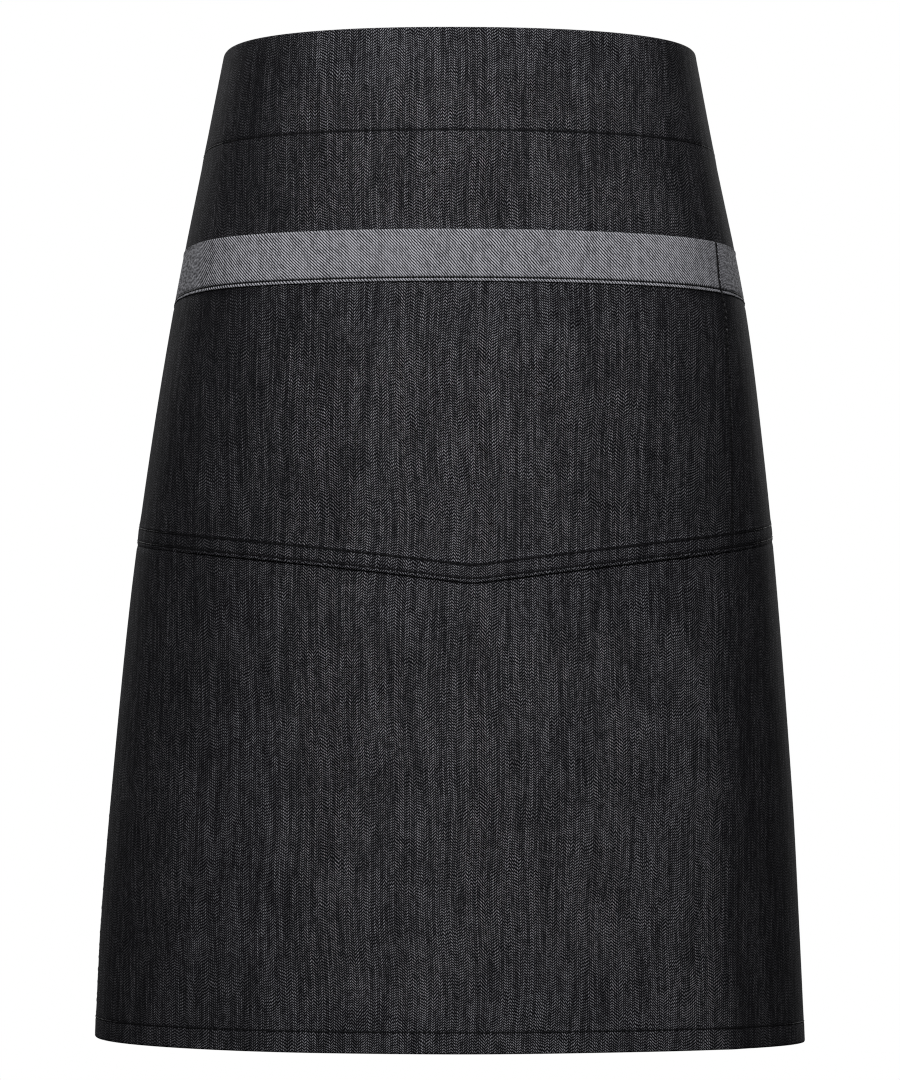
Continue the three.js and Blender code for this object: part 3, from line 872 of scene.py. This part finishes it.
def tie_swing(across, share):
    """Between the panel's edge and the knot the tie waves a little in and out."""
    return tie_wave * np.sin(np.pi * np.clip(share, 0, 1)) * np.sin(across / 9.0 + share * 5)


def tie_reach(v, side):
    """How far round the back the tie runs at a height, a little way into the knot."""
    return worn_outline(max(v, 0) / panel_length, side)[2][-1] - knot_half + tie_bury


def tie_ring(sign, side, share):
    """One cut across a tie, share of the way from the panel's edge to the knot."""
    ends = tie_reach(tie_middle, side)
    beyond = ends - panel_edge if share > 0 else tie_overlap
    at_middle = panel_edge + beyond * share
    open_share = swell(ends - at_middle, 0, gather_length)
    width = gathered_width + (tie_width - gathered_width) * open_share
    thickness = gathered_thickness + (tie_thickness - gathered_thickness) * open_share
    across, out = strap_cut(width, thickness, 0.9 * (1 - open_share))
    v = tie_middle + across
    far = np.array([tie_reach(height, side) for height in v])
    u = panel_edge + (far - panel_edge) * share if share > 0 else np.full(len(v), at_middle)
    out = out + tie_depth(share) + panel_face(u, v) + tie_swing(across, share)
    return lay(sign * u, v, out)[0], at_middle, across, ends


tie_ends = {}
for name, sign in (("left", -1), ("right", 1)):
    shares = np.concatenate([[-1.0, -0.99, -0.96], np.linspace(-0.9, 0, 8), np.linspace(0.02, 1.0, 58)])
    rings, lengths = [], []
    for share in shares:
        ring, at_middle, across, ends = tie_ring(sign, name, share)
        shrink = 1.0 if share > -0.99 else 0.6 if share > -1.0 else 0.2
        middle = ring.mean(axis=0)
        rings.append(middle + (ring - middle) * shrink)
        lengths.append(at_middle)
    tie = tube_piece(f"cotton_tie_{name}", rings, lengths, strap_around(across), [tie_cotton])
    tie_ends[name] = ends
    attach(tie, "root")
    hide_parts(f"tie_{name}")
    long = ends - panel_edge + tie_overlap


# Knot
# The two ties cross and are knotted once over once, flat and firm. Each wrap is the full strap
# crushed to about 15 mm, so that it shows lengthwise folds.
knot_low, knot_high = np.array(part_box("tie_knot")) * 1000
knot_centre = (knot_low + knot_high) / 2
knot_reach = (knot_high - knot_low) / 2
knot_wraps_deep = 2.2
wrap_thickness = 2.6
wrap_length = 60.0
wrap_cuts = 40
core_cuts = 24


def knot_surface(x, turn, raised):
    """A point on the crushed body of the knot, raised by so many millimetres."""
    tall = np.sqrt(np.clip(1 - np.abs(x / (knot_half * 1.08)) ** 2.6, 0.02, 1))
    deep = (knot_reach[1] - knot_wraps_deep) * tall + raised
    high = (knot_reach[2] - knot_wraps_deep) * tall + raised
    return knot_centre + np.stack([x, deep * np.cos(turn), high * np.sin(turn)], axis=-1)


def wrap_rings(start, end, first_turn, last_turn, wide, raised, tilt):
    """Cuts along one wrap of the strap over the knot's body."""
    rings = []
    for t in np.linspace(0, 1, wrap_cuts):
        squeeze = 0.78 + 0.22 * np.sin(np.pi * t)
        pleats = 0.42 * np.sin(np.pi * np.clip(t, 0.05, 0.95)) + 0.12
        across, out = strap_cut(wide * squeeze, wrap_thickness, pleats)
        x = start + (end - start) * t + across
        turn = first_turn + (last_turn - first_turn) * t + across * tilt
        rings.append(knot_surface(np.clip(x, -knot_half - 0.4, knot_half + 0.4), turn, raised + out))
    return rings


core_turn = 2 * np.pi * np.arange(strap_corners) / strap_corners
core_places = np.linspace(-knot_half, knot_half, core_cuts)
core = [knot_surface(np.full(strap_corners, x), core_turn, 0.0) for x in core_places]
core_lengths = np.linspace(0, 2 * knot_half, core_cuts)
core_around = np.linspace(-30, 30, strap_corners)
knot_parts = [tube_piece("knot_core", core, core_lengths, core_around, [tie_cotton])]
# Where each wrap starts and ends along the knot, its first and last turn round it, its width, how
# far it is raised, its tilt, and where along the strap its cloth begins.
for name, start, end, first_turn, last_turn, wide, raised, tilt, begins in (
    ("knot_under_wrap", 7.0, -6.5, 2.5, -2.4, 13.5, 1.0, 0.02, 0.0),
    ("knot_over_wrap", -6.5, 6.0, 2.2, -2.2, 14.5, 2.7, -0.02, 80.0),
):
    rings = wrap_rings(start, end, first_turn, last_turn, wide, raised, tilt)
    lengths = np.linspace(begins, begins + wrap_length, wrap_cuts)
    wrap_around = np.linspace(-tie_width / 2 + 0.5, tie_width / 2 - 0.5, strap_corners)
    knot_parts.append(tube_piece(name, rings, lengths, wrap_around, [tie_cotton]))
with bpy.context.temp_override(active_object=knot_parts[0], selected_editable_objects=knot_parts):
    bpy.ops.object.join()
knot = knot_parts[0]
knot.name = "cotton_knot"
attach(knot, "root")
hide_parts("tie_knot")


# Hanging ends
# What is left of each tie hangs from the knot under its own weight, 290 and 270 mm long, with a
# soft turn in it. The cut end is folded in and sewn across.
tail_columns = ("down", "out", "back", "turn")
tail_course = (
    (0.00, 0.00, 0.00, 0),
    (0.06, 0.10, 0.30, 6),
    (0.16, 0.42, 0.85, 16),
    (0.30, 0.70, 1.00, 22),
    (0.50, 0.86, 0.70, 14),
    (0.75, 0.96, 0.45, 4),
    (1.00, 1.00, 0.55, -6),
)
tail_spacing = 15.0
tail_spread = 20.0
tail_lift = 9.0
tail_neck = 12.0
tail_neck_thickness = 3.6
tail_gather = 45.0
tail_fold = 12.0
knot_foot = 13.8
tails = {"left": (-1, 290.0), "right": (1, 269.7)}


def course(column, share):
    return smooth_between(tail_columns, tail_course, column, share)


def tail_frame(sign, long, down):
    """Centre, width, thickness and turn of a hanging end at a distance below the knot."""
    share = np.clip(down / long, 0, 1)
    open_share = swell(down, -4, tail_gather)
    turn = np.radians(sign * course("turn", share))
    apart = tail_spacing / 2 + tail_spread * course("out", share)
    lifted = tail_lift * course("back", share)
    centre = np.array([sign * apart, knot_centre[1] + lifted, -knot_foot - down])
    if down < 0:
        centre[0] += sign * down * 0.35
    width = tail_neck + (tie_width - tail_neck) * open_share
    thickness = tail_neck_thickness + (tie_thickness - tail_neck_thickness) * open_share
    return centre, width, thickness, turn, open_share


def tail_doubled(left):
    """The last 12 mm are folded in, and a third thicker."""
    return 1 + 0.35 * swell(left, tail_fold + 0.2, tail_fold - 0.6)


def tail_curl(sign, down, across):
    """The strap curls a little along its length, one way and the other."""
    return 0.35 * np.sin(down / 23.0 + sign) * np.cos(across / 6.0)


def turned_by(turn, across, out):
    """A level step from a hanging end's middle, turned with it."""
    x = across * np.cos(turn) - out * np.sin(turn)
    y = across * np.sin(turn) + out * np.cos(turn)
    return np.stack([x, y, np.zeros(np.shape(x))], axis=-1)


fold_places = np.array([13, 12, 11, 8, 5, 2.4, 1.1, 0.45, 0.12, 0.0])
for name, (sign, long) in tails.items():
    places = np.concatenate([np.linspace(-9, 0, 5), np.arange(4, long - 14, 4.0), long - fold_places])
    rings = []
    for down in places:
        centre, width, thickness, turn, open_share = tail_frame(sign, long, down)
        left = long - down
        rim = np.sqrt(np.clip(1 - (1 - np.clip(left / 1.1, 0, 1)) ** 2, 0.0025, 1))
        thick = thickness * tail_doubled(left) * rim
        across, out = strap_cut(width - 1.2 * (1 - rim), thick, 0.8 * (1 - open_share))
        rings.append(centre + turned_by(turn, across, out + tail_curl(sign, down, across)))
    tail = tube_piece(f"cotton_end_{name}", rings, places, strap_around(across), [tie_cotton])
    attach(tail, "root")
    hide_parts(f"tie_tail_{name}")


# Stitching
# Black polyester thread in lockstitch, about 3 mm a stitch, holds every turned edge, the pocket,
# its divider, the band and the ties. Each stitch dips into the cloth at both ends.
thread_radius = 0.36
stitch_pitch = 3.1
stitch_length = 2.85
uneven_turn = 0.06
box_inset = 2.2
strap_face = 0.78

# Spun polyester thread: two twisted plies, slightly shinier than the cotton beside it.
# Its fibres are drawn 0.4 mm thick, far coarser than the real ones.
fibre_size = 0.3846
thread_black, tree = new_finish("black_polyester_thread")
where = add_node(tree, "ShaderNodeTexCoord")
twist = add_node(
    tree, "ShaderNodeTexNoise", {},
    {"Vector": where.outputs["Object"], "Scale": 1000 / fibre_size, "Detail": 1.0},
)
colour = add_node(
    tree, "ShaderNodeMix", {"data_type": "RGBA"},
    {"Factor": twist, 6: linear("#08080a"), 7: linear("#1b1b1e")},
)
relief = add_node(tree, "ShaderNodeBump", {}, {"Height": twist, "Strength": 0.4, "Distance": 0.0001})
shade = add_node(
    tree, "ShaderNodeBsdfPrincipled", {},
    {
        "Base Color": colour.outputs[2], "Roughness": 0.7, "IOR": 1.5, "Specular IOR Level": 0.2,
        "Normal": relief,
    },
)
add_node(tree, "ShaderNodeOutputMaterial", {}, {"Surface": shade})

rows = []


def sew(u, v, out, sink=0.12, bold=1.0):
    """Keeps a row of stitches along flat places u, v, at out from the worn form."""
    u, v = np.broadcast_arrays(np.asarray(u, float), np.asarray(v, float))
    points, square = lay(u, v, out(u, v) + sink)
    rows.append((points, square, bold))


def line_of(start, end, gap=1.5):
    return np.linspace(start, end, int(abs(end - start) / gap) + 2)


def edge_out(u, v):
    return np.where(v < band_foot, band_face(u, v), pocket_face(u, v))


across_panel = line_of(-panel_edge + 2, panel_edge - 2)
across_pocket = line_of(-pocket_end + 1.5, pocket_end - 1.5)
pocket_side = pocket_end - 2.6
sew(across_panel, facing_row, panel_face)
sew(across_panel, hem_row, panel_face)
for sign in (-1, 1):
    sew(sign * side_row, line_of(facing_depth + 1, mouth - 2), panel_face)
    sew(sign * side_row, line_of(pocket_edge(np.array(sign * side_row)) + 2, hem_row - 2), panel_face)
    side_foot = pocket_edge(np.array(sign * pocket_side)) - 3
    sew(sign * pocket_side, line_of(mouth + 1.5, side_foot), edge_out)
sew(across_pocket, band_row, band_face, 0.2, 1.2)
sew(across_pocket, pocket_edge(across_pocket) - edge_row, pocket_face)
sew(across_pocket, pocket_edge(across_pocket) - upper_row, pocket_face)
down = line_of(mouth + 1.2, pocket_edge(np.array(divider_low)) - upper_row)
sew(divider_line(down), down, edge_out, 0.25, 2.0)
# A box of stitches holds each tie to the panel, and a row runs along each of its edges.
low = tie_middle - tie_width / 2 + box_inset
high = tie_middle + tie_width / 2 - box_inset
near = panel_edge - 2.6
far = panel_edge - tie_overlap + 3
box_corners = ((near, low), (far, low), (far, high), (near, high), (near, low))
steps = line_of(0, 1, 0.05)
run = line_of(0.03, 0.78, 0.01)
for sign, side in ((-1, "left"), (1, "right")):
    for start, end in zip(box_corners, box_corners[1:]):
        u = sign * (start[0] + (end[0] - start[0]) * steps)
        v = start[1] + (end[1] - start[1]) * steps
        sew(u, v, panel_face, 0.25)
        points, square = lay(u, v, tie_depth(0) + panel_face(u, v) - 0.84)
        rows.append((points, -square, 1.0))
    for row in (-strap_row, strap_row):
        across = row * tie_width / 2
        u = panel_edge + (tie_ends[side] - panel_edge) * run
        out = tie_depth(run) + strap_face + tie_swing(across, run)
        points, square = lay(sign * u, np.full(len(run), tie_middle + across), out)
        rows.append((points, square, 1.0))
# Each hanging end has a row along both edges on both faces, and one across its folded end.
for sign, long in tails.values():
    for row in (-strap_row, strap_row):
        for face in (-1, 1):
            points, square = [], []
            for down in line_of(50, long - 2.5):
                centre, width, thickness, turn, open_share = tail_frame(sign, long, down)
                across = row * width / 2
                half = thickness * tail_doubled(long - down) / 2
                out = face * (half * strap_face + 0.1) + tail_curl(sign, down, across)
                points.append(centre + turned_by(turn, across, out))
                square.append(turned_by(turn, 0, face))
            rows.append((np.array(points), np.array(square), 1.0))
    down = long - tail_fold + 1.6
    centre, width, thickness, turn, open_share = tail_frame(sign, long, down)
    across = line_of(-strap_row * width / 2, strap_row * width / 2)
    for face in (-1, 1):
        half = thickness * tail_doubled(long - down) / 2
        out = face * (half + 0.1) + tail_curl(sign, down, across)
        square = np.tile(turned_by(turn, 0, face), (len(across), 1))
        rows.append((centre + turned_by(turn, across, out), square, 1.0))

threads = bpy.data.meshes.new("stitch_rows")
starts = np.cumsum([0] + [len(row[0]) for row in rows])
edges = [(s + k, s + k + 1) for s, row in zip(starts, rows) for k in range(len(row[0]) - 1)]
threads.from_pydata((np.concatenate([row[0] for row in rows]) / 1000).tolist(), edges, [])
facing_out = threads.attributes.new("facing_out", "FLOAT_VECTOR", "POINT")
facing_out.data.foreach_set("vector", np.concatenate([row[1] for row in rows]).ravel())
boldness = threads.attributes.new("boldness", "FLOAT_VECTOR", "POINT")
bold_parts = [np.tile([1, bold, bold], len(points)) for points, square, bold in rows]
boldness.data.foreach_set("vector", np.concatenate(bold_parts))
stitch_rows = bpy.data.objects.new("stitch_rows", threads)
bpy.context.scene.collection.objects.link(stitch_rows)

# Geometry Nodes: one arched stitch on every point of every row.
tree = bpy.data.node_groups.new("lockstitch", "GeometryNodeTree")
tree.interface.new_socket("Rows", in_out="INPUT", socket_type="NodeSocketGeometry")
sizes = []
for label, size in (
    ("Pitch", stitch_pitch / 1000),
    ("Stitch length", stitch_length / 1000),
    ("Thread radius", thread_radius / 1000),
    ("Uneven turn", uneven_turn),
):
    socket = tree.interface.new_socket(label, in_out="INPUT", socket_type="NodeSocketFloat")
    sizes.append((socket.identifier, size))
tree.interface.new_socket("Stitches", in_out="OUTPUT", socket_type="NodeSocketGeometry")
given = add_node(tree, "NodeGroupInput")
paths = add_node(tree, "GeometryNodeMeshToCurve", {}, {"Mesh": given.outputs["Rows"]})
spaced = add_node(
    tree, "GeometryNodeResampleCurve", {"mode": "LENGTH"},
    {"Curve": paths, "Length": given.outputs["Pitch"]},
)
half_length = add_node(tree, "ShaderNodeMath", times, {0: given.outputs["Stitch length"], 1: 0.5})
back_length = add_node(tree, "ShaderNodeMath", times, {0: half_length, 1: -1.0})
dip = add_node(tree, "ShaderNodeMath", times, {0: given.outputs["Thread radius"], 1: -0.9})
lift = add_node(tree, "ShaderNodeMath", times, {0: given.outputs["Thread radius"], 1: 0.7})
start = add_node(tree, "ShaderNodeCombineXYZ", {}, {"X": back_length, "Z": dip})
crest = add_node(tree, "ShaderNodeCombineXYZ", {}, {"Z": lift})
end = add_node(tree, "ShaderNodeCombineXYZ", {}, {"X": half_length, "Z": dip})
arch = add_node(
    tree, "GeometryNodeCurveQuadraticBezier", {},
    {"Resolution": 4, "Start": start, "Middle": crest, "End": end},
)
section = add_node(
    tree, "GeometryNodeCurvePrimitiveCircle", {},
    {"Resolution": 6, "Radius": given.outputs["Thread radius"]},
)
stitch = add_node(
    tree, "GeometryNodeCurveToMesh", {}, {"Curve": arch, "Profile Curve": section, "Fill Caps": True}
)
square = add_node(
    tree, "GeometryNodeInputNamedAttribute", {"data_type": "FLOAT_VECTOR"}, {"Name": "facing_out"}
)
along = add_node(tree, "GeometryNodeInputTangent")
aim = add_node(
    tree, "FunctionNodeAxesToRotation", {"primary_axis": "Z", "secondary_axis": "X"},
    {0: square, 1: along},
)
negative = add_node(tree, "ShaderNodeMath", times, {0: given.outputs["Uneven turn"], 1: -1.0})
uneven = add_node(
    tree, "FunctionNodeRandomValue", {"data_type": "FLOAT"},
    {2: negative, 3: given.outputs["Uneven turn"], "Seed": 7},
)
tip = add_node(tree, "ShaderNodeCombineXYZ", {}, {"Z": uneven.outputs[1]})
nudge = add_node(tree, "FunctionNodeEulerToRotation", {}, {0: tip})
turned = add_node(tree, "FunctionNodeRotateRotation", {"rotation_space": "LOCAL"}, {0: aim, 1: nudge})
bold = add_node(
    tree, "GeometryNodeInputNamedAttribute", {"data_type": "FLOAT_VECTOR"}, {"Name": "boldness"}
)
placed = add_node(
    tree, "GeometryNodeInstanceOnPoints", {},
    {"Points": spaced, "Instance": stitch, "Rotation": turned, "Scale": bold},
)
real = add_node(tree, "GeometryNodeRealizeInstances", {}, {0: placed})
finished = add_node(tree, "GeometryNodeSetMaterial", {}, {"Geometry": real, "Material": thread_black})
add_node(tree, "NodeGroupOutput", {}, {0: finished})
sewing = stitch_rows.modifiers.new("lockstitch", "NODES")
sewing.node_group = tree
for identifier, size in sizes:
    sewing[identifier] = size
evaluated = stitch_rows.evaluated_get(bpy.context.evaluated_depsgraph_get())
sewn = bpy.data.meshes.new_from_object(evaluated)
stitch_rows.modifiers.remove(sewing)
stitching = bpy.data.objects.new("thread_stitching", sewn)
bpy.context.scene.collection.objects.link(stitching)
bpy.data.objects.remove(stitch_rows)
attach(stitching, "root")


# Studio
# A pale matt floor about a metre below the waist under its own overhead light, one large soft
# light in front, two weaker ones behind the sides, and a long lens level with the cloth's middle.
floor_half = 4.0
floor_level = -0.96
floor_mesh = bpy.data.meshes.new("studio_floor")
corners = ((-1, -1), (1, -1), (1, 1), (-1, 1))
floor_points = [(x * floor_half, y * floor_half, floor_level) for x, y in corners]
floor_mesh.from_pydata(floor_points, [], [(0, 1, 2, 3)])
floor = bpy.data.objects.new("studio_floor", floor_mesh)
bpy.context.scene.collection.objects.link(floor)
pale_floor, tree = new_finish("pale_matt_floor")
where = add_node(tree, "ShaderNodeTexCoord")
mottle = add_node(
    tree, "ShaderNodeTexNoise", {}, {"Vector": where.outputs["Object"], "Scale": 1.5, "Detail": 3.0}
)
colour = add_node(
    tree, "ShaderNodeMix", {"data_type": "RGBA"},
    {"Factor": mottle, 6: linear("#e9e8e6"), 7: linear("#f2f1ef")},
)
shade = add_node(
    tree, "ShaderNodeBsdfPrincipled", {}, {"Base Color": colour.outputs[2], "Roughness": 0.8}
)
add_node(tree, "ShaderNodeOutputMaterial", {}, {"Surface": shade})
floor_mesh.materials.append(pale_floor)
# The floor's light and its bounce stay off the cloth, so that the sides keep their fall-off.
floor.visible_diffuse = False
floor.visible_glossy = False
wash = bpy.data.lights.new("floor_wash", "AREA")
wash.shape = "SQUARE"
wash.size = 9.0
wash.energy = 450
overhead = bpy.data.objects.new("floor_wash", wash)
overhead.location = (0, 0, 3.0)
overhead.visible_camera = False
bpy.context.scene.collection.objects.link(overhead)
washed = bpy.data.collections.new("lit_by_floor_wash")
washed.objects.link(floor)
overhead.light_linking.receiver_collection = washed

for name, spot, aim_at, size, power in (
    ("front_softbox", (-0.16, -2.4, 1.5), (0, 0, -0.16), 1.0, 5.6),
    ("rear_left_softbox", (-1.5, 2.45, 1.1), (0, 0, -0.2), 0.9, 4.6),
    ("rear_right_softbox", (1.5, 2.4, 0.5), (0, 0, -0.2), 0.9, 3.8),
):
    lamp = bpy.data.lights.new(name, "AREA")
    lamp.shape = "SQUARE"
    lamp.size = size
    lamp.energy = power
    lamp.spread = np.radians(60)
    light = bpy.data.objects.new(name, lamp)
    light.location = spot
    back = np.array(spot) - np.array(aim_at)
    tilt = np.arctan2(np.hypot(back[0], back[1]), back[2])
    light.rotation_euler = (tilt, 0, np.arctan2(back[0], -back[1]))
    bpy.context.scene.collection.objects.link(light)

room = bpy.data.worlds.new("white_room")
room.use_nodes = True
tree = room.node_tree
tree.nodes.clear()
seen = add_node(tree, "ShaderNodeLightPath")
strength = add_node(
    tree, "ShaderNodeMapRange", {},
    {"Value": seen.outputs["Is Camera Ray"], "To Min": 0.035, "To Max": 1.0},
)
white = add_node(
    tree, "ShaderNodeBackground", {}, {"Color": (1.0, 1.0, 1.0, 1.0), "Strength": strength}
)
add_node(tree, "ShaderNodeOutputWorld", {}, {"Surface": white})
bpy.context.scene.world = room
bpy.context.scene.view_settings.view_transform = "Standard"
# The denoiser keeps the weave when it takes its guide passes as they are.
bpy.context.scene.cycles.denoising_prefilter = "NONE"
bpy.context.scene.cycles.filter_width = 1.2

lens = bpy.data.cameras.new("long_lens")
lens.sensor_fit = "VERTICAL"
lens.sensor_height = 36.0
lens.lens = 171.4
picture_height = 1080
lens.shift_x = -4.4 / picture_height
lens.shift_y = 29.35 / picture_height
camera = bpy.data.objects.new("long_lens", lens)
camera.location = (-0.0912, -2.5984, -0.2285)
camera.rotation_euler = (np.radians(90), 0, np.radians(-2.01))
bpy.context.scene.collection.objects.link(camera)
bpy.context.scene.camera = camera
